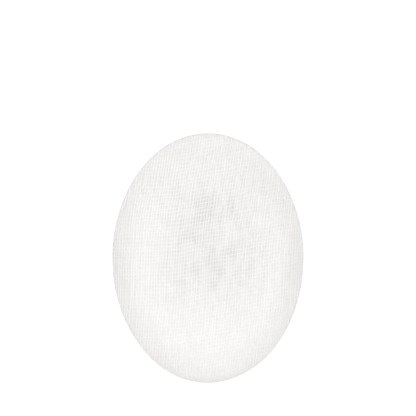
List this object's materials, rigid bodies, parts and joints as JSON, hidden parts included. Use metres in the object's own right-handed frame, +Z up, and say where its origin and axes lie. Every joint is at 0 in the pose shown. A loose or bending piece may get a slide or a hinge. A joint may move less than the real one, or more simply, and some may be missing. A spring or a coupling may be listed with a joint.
{
  "type": "eye pad",
  "caption": "Oval absorbent eye pad: a soft crowned cotton fleece between layers of open-weave gauze, pressed thin round its rim, lying on its back.",
  "frame": {"origin": "on the surface that the pad lies on, under the middle of the oval", "axes": "+Z up through the crowned front, +Y along the oval's long axis, +X along its short axis"},
  "size_m": [0.057, 0.0744, 0.008],
  "materials": {
    "gauze": "bleached plain-woven cotton gauze, matte",
    "fleece": "bleached cotton fleece, matte and fibrous"
  },
  "bodies": {
    "root": {"front_gauze": "gauze", "absorbent_core": "fleece", "back_gauze": "gauze"}
  },
  "joints": []
}
